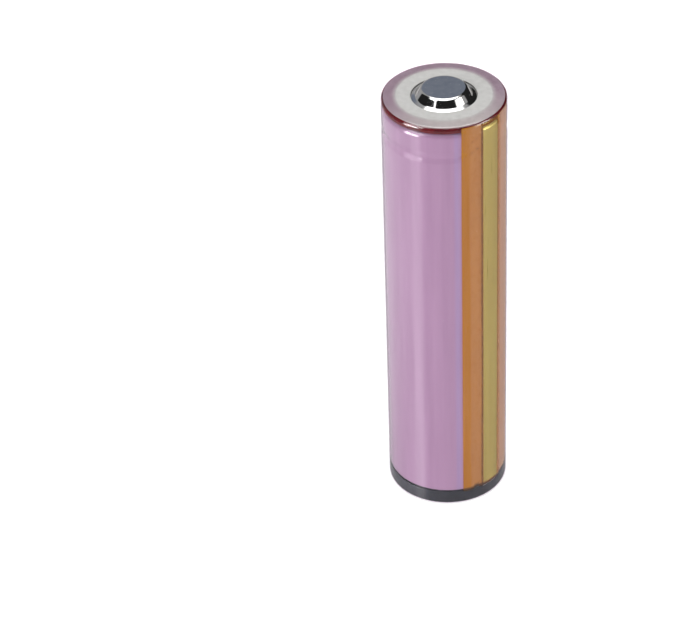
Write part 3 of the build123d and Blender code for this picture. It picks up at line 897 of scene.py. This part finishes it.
def floor_material():
    """A pale matt floor with the faintest grain. From below it isn't there."""
    paint = finish("floor", (0.86, 0.86, 0.86), (0.88, 0.88, 0.88), 60, (0.7, 0.9), 0.01)
    paint.set(Emission_Color=(1, 1, 1, 1), Emission_Strength=0.70, Specular_IOR_Level=0.1)
    see = paint.node("ShaderNodeBsdfTransparent")
    back = paint.node("ShaderNodeNewGeometry").outputs["Backfacing"]
    return paint.surface(paint.mix_shaders(back, paint.shader.outputs["BSDF"], see.outputs["BSDF"]))


FLOOR_RADIUS = 1.2


def add_floor():
    """A wide disc under the cell. Reflections pass through it to the studio below the horizon."""
    mesh = bmesh.new()
    bmesh.ops.create_circle(mesh, cap_ends=True, radius=FLOOR_RADIUS, segments=96)
    data = bpy.data.meshes.new("floor")
    mesh.to_mesh(data)
    mesh.free()
    floor = bpy.data.objects.new("floor", data)
    floor.location.z = -0.02 * MM
    floor.visible_glossy = False
    floor.data.materials.append(floor_material())
    bpy.context.scene.collection.objects.link(floor)


class Sky(Nodes):
    """The studio as the cell's gloss sees it, written as light by direction."""

    def __init__(self, world):
        world.use_nodes = True
        super().__init__(world.node_tree)
        self.tree.nodes.clear()
        split = self.node("ShaderNodeSeparateXYZ")
        self.link(self.node("ShaderNodeTexCoord").outputs["Generated"], split.inputs["Vector"])
        x, y, z = split.outputs
        self.rise = self.math("MULTIPLY", self.math("ARCSINE", z), degrees(1))
        self.turn = self.math("MULTIPLY", self.math("ARCTAN2", x, self.math("MULTIPLY", y, -1.0)), degrees(1))
        self.colour = (0, 0, 0)

    def window(self, value, low, high, soft):
        """1 between two angles, falling to 0 over soft degrees outside them."""
        middle, half = (low + high) / 2, (high - low) / 2
        away = self.math("ABSOLUTE", self.math("SUBTRACT", value, middle))
        made = self.node("ShaderNodeMapRange", interpolation_type="SMOOTHSTEP")
        settings = (("From Min", half), ("From Max", half + soft), ("To Min", 1.0), ("To Max", 0.0))
        for key, number in settings:
            made.inputs[key].default_value = number
        self.link(away, made.inputs["Value"])
        return made.outputs["Result"]

    def patch(self, colour, turn, rise, soft=8.0):
        """Lays a soft-edged panel of one colour over what is there."""
        mask = self.math("MULTIPLY", self.window(self.turn, *turn, soft), self.window(self.rise, *rise, soft))
        self.colour = self.mix_colours(mask, self.colour, colour)

    def glow(self, colour):
        """Light of one colour, or of another node's."""
        made = self.node("ShaderNodeBackground")
        if isinstance(colour, tuple):
            made.inputs["Color"].default_value = (*colour, 1)
        else:
            self.link(colour, made.inputs["Color"])
        return made.outputs["Background"]

    def close(self):
        """White to the camera, the studio in reflections, and even soft light on matt surfaces."""
        ray = self.node("ShaderNodeLightPath").outputs
        direct = self.math("LESS_THAN", ray["Diffuse Depth"], 0.5)
        in_gloss = self.math("MULTIPLY", ray["Is Glossy Ray"], direct)
        light = self.mix_shaders(in_gloss, self.glow((0.80, 0.80, 0.80)), self.glow(self.colour))
        light = self.mix_shaders(ray["Is Camera Ray"], light, self.glow((1.0, 1.0, 1.0)))
        self.link(light, self.node("ShaderNodeOutputWorld").inputs["Surface"])


def add_studio():
    """Turn is the angle from -Y towards +X and rise is the angle above the floor, both in degrees."""
    world = bpy.data.worlds.new("studio")
    world.cycles.sampling_method = "NONE"  # its rays are told apart by kind, so none is sent to it directly
    bpy.context.scene.world = world
    sky = Sky(world)
    sky.patch((0.42, 0.42, 0.42), (-180, 180), (-90, 90))  # pale table and walls
    sky.patch((0.21, 0.235, 0.29), (152, 208), (24, 47), 6)  # the far side of the room, right
    sky.patch((0.21, 0.235, 0.29), (-208, -152), (24, 47), 6)  # and left
    sky.patch((0.02, 0.02, 0.02), (-118, 50), (-17, 50), 4)  # the dark room behind the camera
    sky.patch((0.02, 0.02, 0.02), (106, 164), (-24, 46), 5)  # the dark doorway on the right
    sky.patch((19.0, 19.0, 19.0), (-68, -49), (-11, 13), 6)  # soft box, left: its lower panel
    sky.patch((9.0, 9.0, 9.0), (-76, -44), (39, 58), 4)  # and its upper one
    sky.patch((2.4, 2.4, 2.4), (-72, -42), (-25, -18), 4)  # the table's bright edge under it
    sky.patch((0.80, 0.80, 0.80), (-150, -72), (-34.5, -26), 8)  # the lit table on that side
    sky.patch((1.16, 1.16, 1.16), (-60, -52), (-75, -26), 13)  # the box's reflection in the table
    sky.patch((6.5, 6.4, 6.1), (61, 79), (-13, 26), 11)  # soft box, right
    sky.patch((2.6, 2.6, 2.6), (-44, -38), (10, 50), 1.5)  # the slit between two dark panels
    sky.patch((3.0, 3.0, 3.0), (-180, 180), (60, 90), 6)  # the overhead diffuser
    sky.close()


def add_light(name, place, size, power):
    """A soft area light aimed at the cell's middle, which leaves no mark in its gloss."""
    aim = Vector((0, 0, 35 * MM)) - Vector(place)
    data = bpy.data.lights.new(name, "AREA")
    data.shape = "DISK"
    data.size = size
    data.energy = power
    light = bpy.data.objects.new(name, data)
    light.location = place
    light.rotation_euler = aim.to_track_quat("-Z", "Y").to_euler()
    light.visible_glossy = False
    bpy.context.scene.collection.objects.link(light)


def add_lights():
    add_light("overhead", (0.0, 0.0, 1.1), 1.0, 1.5)
    add_light("key", (-0.65, -0.65, 0.45), 0.6, 2.5)


def set_colour_management():
    bpy.context.scene.view_settings.view_transform = "Standard"


set_colour_management()
add_camera()
add_floor()
add_studio()
add_lights()
add_shown()
paint_cad_nodes()
